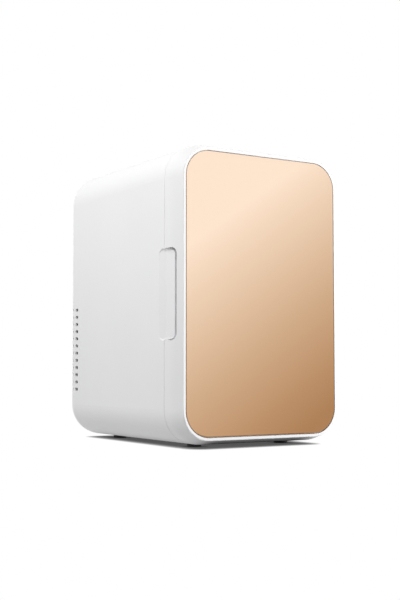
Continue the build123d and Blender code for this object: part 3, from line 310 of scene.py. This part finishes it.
# Hinges, strike frame and hidden screws: zinc-plated steel, stamped or turned.
# The hinge arms are screwed to the cabinet, and their pins turn in bushes of natural nylon.
plated_steel = drawn_metal(
    "plated_steel", colour=(0.66, 0.66, 0.66), shade=(0.52, 0.52, 0.53), rough=0.3, lines=1500,
    stretch=(1, 1, 0.2),
)
dress(
    plated_steel, "strike_frame", "hinge_arm_upper", "hinge_arm_lower", "hinge_pin_upper", "hinge_pin_lower",
    "door_liner_screws", "clamp_screws", "hot_fan_screws", "cold_fan_screws", "board_screws",
)
bush_nylon = moulded(
    "bush_nylon", colour=(0.72, 0.70, 0.62), shade=(0.66, 0.64, 0.56), rough=0.5, peel=1500, depth=0.00003
)
dress(bush_nylon, "hinge_bush_upper", "hinge_bush_lower")


# Screws in view: plated pan heads with a cross recess, turned into the plastic behind them.
# They hold the rear cover, the cover of the cold fan and the hinge arms.
# The crown and the recess are shares of the head's radius or height.
head_sides = 28
crown_share = 0.84
arm_half_share = 0.15
arm_reach_share = 0.6
recess_share = 0.75
recess_draft = 0.7


def ring(points, middle, outline, share, depth):
    """Adds an outline's points round a screw's middle, at a depth along Y, and gives their numbers."""
    first = len(points)
    points.extend((middle[0] + x * share, depth, middle[1] + z * share) for x, z in outline)
    return list(range(first, len(points)))


def wall(first, second):
    """Faces between two rings."""
    return list(zip(first, first[1:] + first[:1], second[1:] + second[:1], second))


def cross_screws(node, places, head, head_height, shank, outward):
    """Screws at (x, z) places along Y; outward is the way their heads face, and head and shank are radii."""
    low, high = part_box(node)
    top, tip = (high.y, low.y) if outward > 0 else (low.y, high.y)
    seat = top - outward * head_height
    circle = [(cos(2 * pi * i / head_sides), sin(2 * pi * i / head_sides)) for i in range(head_sides)]
    arm, reach = arm_half_share * head, arm_reach_share * head
    quarter = [(arm, arm), (arm, reach), (-arm, reach)]
    cross = []
    for turn in range(4):
        cross += quarter
        quarter = [(-z, x) for x, z in quarter]
    points, faces = [], []
    for middle in places:
        end = ring(points, middle, circle, shank, tip)
        neck = ring(points, middle, circle, shank, seat)
        rim = ring(points, middle, circle, head, seat)
        shoulder = ring(points, middle, circle, head, top - outward * head_height / 2)
        crown = ring(points, middle, circle, head * crown_share, top)
        mouth = ring(points, middle, cross, 1, top)
        bottom = ring(points, middle, cross, recess_draft, top - outward * head_height * recess_share)
        faces += wall(end, neck) + wall(neck, rim) + wall(rim, shoulder) + wall(shoulder, crown)
        faces += wall(mouth, bottom) + [end, bottom]
        loops = [[Vector(points[i]) for i in loop] for loop in (crown, mouth)]
        flat = crown + mouth
        faces += [[flat[corner] for corner in triangle] for triangle in tessellate_polygon(loops)]
    mesh_piece(f"cross_{node}", points, faces, plated_steel, "cabinet", node)


cover_low, cover_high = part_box("rear_cover_screws")
cover_head = 0.003
cover_places = [(x, z) for x in (cover_low.x + cover_head, cover_high.x - cover_head)
                for z in (cover_low.z + cover_head, cover_high.z - cover_head)]
cross_screws("rear_cover_screws", cover_places, cover_head, head_height=0.0009, shank=0.0015, outward=1)
duct_low, duct_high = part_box("cold_fan_cover_screws")
duct_head = 0.0024
duct_places = [(x, z) for x in (duct_low.x + duct_head, duct_high.x - duct_head)
               for z in (duct_low.z + duct_head, duct_high.z - duct_head)]
cross_screws("cold_fan_cover_screws", duct_places, duct_head, head_height=0.0012, shank=0.0012, outward=-1)
arm_low, arm_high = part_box("hinge_arm_screws")
arm_head = 0.0026
arm_screw_pitch = 0.024
arm_bottom, arm_top = arm_low.z + arm_head, arm_high.z - arm_head
arm_levels = (arm_bottom, arm_bottom + arm_screw_pitch, arm_top - arm_screw_pitch, arm_top)
arm_places = [((arm_low.x + arm_high.x) / 2, z) for z in arm_levels]
cross_screws("hinge_arm_screws", arm_places, arm_head, head_height=0.0017, shank=0.0013, outward=-1)


# Thermoelectric module: two white ceramic plates with the pellets between them.
# Fired ceramic is dull and faintly mottled.
module_ceramic = moulded(
    "module_ceramic", colour=(0.80, 0.80, 0.77), shade=(0.72, 0.72, 0.69), rough=0.6, peel=2500, depth=0.00002
)
dress(module_ceramic, "peltier_module")


# Fans, inlets, rocker switch and the board's parts: black glass-filled plastic with a spark-eroded grain.
# The fans are screwed to the heat sinks, and the inlets and the switch are snapped into the rear panel.
black_grain = moulded(
    "black_grain", colour=(0.018, 0.018, 0.019), shade=(0.03, 0.03, 0.032), rough=0.48, peel=2400,
    depth=0.00005,
)
dress(
    black_grain, "hot_fan_frame", "hot_fan_rotor", "cold_fan_frame", "cold_fan_rotor", "ac_inlet", "dc_inlet",
    "mode_switch_housing", "mode_switch_rocker", "board_parts",
)
contact_metal = drawn_metal(
    "contact_metal", colour=(0.80, 0.72, 0.50), shade=(0.66, 0.58, 0.38), rough=0.25, lines=2500,
    stretch=(1, 0.05, 1),
)
dress(contact_metal, "ac_inlet_pins", "dc_inlet_pins")


# Power board: green lacquered laminate, a little mottled by the copper under it.
# It stands on four posts behind the inlets.
board_green = moulded(
    "board_green", colour=(0.02, 0.13, 0.05), shade=(0.03, 0.20, 0.08), rough=0.35, peel=300, depth=0.00004
)
dress(board_green, "power_board")


# Floor: a wide white sheet that gives off light, so that the fridge's lower edges are bright.
# It is pure white, apart from the fridge's close shadow, and it gives no light from right under the fridge.
floor_reach = 6.0
floor_light = 0.53
shadow_reach = 0.009
shadow_depth = 1.5
shadow_grey = (0.02, 0.02, 0.02, 1)
paper_white = (1, 1, 1, 1)
under_side = 0.06
under_front = -0.165
under_rear = 0.1
under_fade = 0.03
floor_mesh = bpy.data.meshes.new("floor")
floor_mesh.from_pydata(
    [(-floor_reach, -floor_reach, 0), (floor_reach, -floor_reach, 0),
     (floor_reach, floor_reach, 0), (-floor_reach, floor_reach, 0)], [], [(0, 1, 2, 3)]
)
floor = bpy.data.objects.new("floor", floor_mesh)
bpy.context.scene.collection.objects.link(floor)
floor_sheet = bpy.data.materials.new("floor_sheet")
floor_sheet.use_nodes = True
floor_sheet.node_tree.nodes.remove(floor_sheet.node_tree.nodes["Principled BSDF"])
sheet = Flow(floor_sheet.node_tree)
spot = sheet.add("TexCoord", {}, {}, "Object")
spot_x = sheet.add("SeparateXYZ", {}, {0: spot}, "X")
spot_y = spot_x.other("Y")


def rise(value, start, length):
    """From 0 at start to 1 a length further on."""
    return value.math("MINIMUM", 1.0, value.math("MAXIMUM", 0.0, (value - start) * (1 / length)))


under = rise(spot_y, under_front, under_fade) * (1 - rise(spot_y, under_rear, under_fade))
under = under * (1 - rise(spot_x.math("ABSOLUTE", spot_x), under_side, under_fade))
camera_ray = sheet.add("LightPath", {}, {}, "Is Camera Ray")
mirrored = sheet.math("MAXIMUM", camera_ray.other("Is Glossy Ray"), camera_ray.other("Is Transmission Ray"))
open_air = sheet.add("AmbientOcclusion", {"samples": 32}, {"Distance": shadow_reach}, "AO")
dark = sheet.add("BsdfDiffuse", {}, {"Color": shadow_grey})
glow = sheet.add("Emission", {}, {"Color": paper_white, "Strength": 1.0})
table = sheet.add("Emission", {}, {"Color": paper_white, "Strength": floor_light})
unseen = sheet.add("MixShader", {}, {0: mirrored, 1: table, 2: glow})
unseen = sheet.add("MixShader", {}, {0: under, 1: unseen, 2: dark})
seen = sheet.add("MixShader", {}, {0: sheet.math("POWER", open_air, shadow_depth), 1: dark, 2: glow})
sheet.add("MixShader", {}, {0: camera_ray, 1: unseen, 2: seen}).to(
    floor_sheet.node_tree.nodes["Material Output"].inputs["Surface"]
)
floor_mesh.materials.append(floor_sheet)


# Light: a soft lamp near the left side, one at the front right for the door's rim, and a weak one behind.
# The surroundings are white to the camera and to glossy surfaces, and dimmer as a light.
room_white = (1, 1, 1, 1)
room_light = 0.3
world = bpy.data.worlds.new("studio")
world.use_nodes = True
bpy.context.scene.world = world
world.node_tree.nodes.clear()
air = Flow(world.node_tree)
camera_ray = air.add("LightPath", {}, {}, "Is Camera Ray")
mirrored = air.math("MAXIMUM", camera_ray.other("Is Glossy Ray"), camera_ray.other("Is Transmission Ray"))
soft = air.add("Background", {}, {"Color": room_white, "Strength": room_light})
white = air.add("Background", {}, {"Color": room_white, "Strength": 1.0})
sky = air.add("MixShader", {}, {0: air.math("MAXIMUM", camera_ray, mirrored), 1: soft, 2: white})
sky.to(world.node_tree.nodes.new("ShaderNodeOutputWorld").inputs["Surface"])


def lamp(name, where, aim, size, power):
    """A square soft lamp that points at aim and isn't mirrored in glossy surfaces."""
    light = bpy.data.lights.new(name, "AREA")
    light.shape = "SQUARE"
    light.size = size
    light.energy = power
    holder = bpy.data.objects.new(name, light)
    holder.location = where
    holder.rotation_euler = (Vector(aim) - Vector(where)).to_track_quat("-Z", "Y").to_euler()
    holder.visible_glossy = False
    bpy.context.scene.collection.objects.link(holder)


lamp("side_lamp", where=(-0.7, -0.1, 0.8), aim=(0, 0, 0.2), size=0.8, power=6.8)
lamp("front_lamp", where=(1.2, -1.4, 0.5), aim=(0, 0, 0.16), size=1.0, power=36)
lamp("rear_lamp", where=(0.3, 1.6, 1.0), aim=(0, 0, 0.15), size=1.2, power=6)


# Camera: low and to the left of the front, as the picture was taken.
# The picture is 400 by 600, so the lens is set on its taller side.
camera_tilt = 93.59
camera_turn = -31.77
camera_data = bpy.data.cameras.new("camera")
camera_data.sensor_fit = "VERTICAL"
camera_data.sensor_height = 36
camera_data.lens = 64.22
camera = bpy.data.objects.new("camera", camera_data)
camera.location = (-0.669, -1.089, 0.086)
camera.rotation_euler = (radians(camera_tilt), 0, radians(camera_turn))
bpy.context.scene.collection.objects.link(camera)
bpy.context.scene.camera = camera
bpy.context.scene.view_settings.view_transform = "Standard"
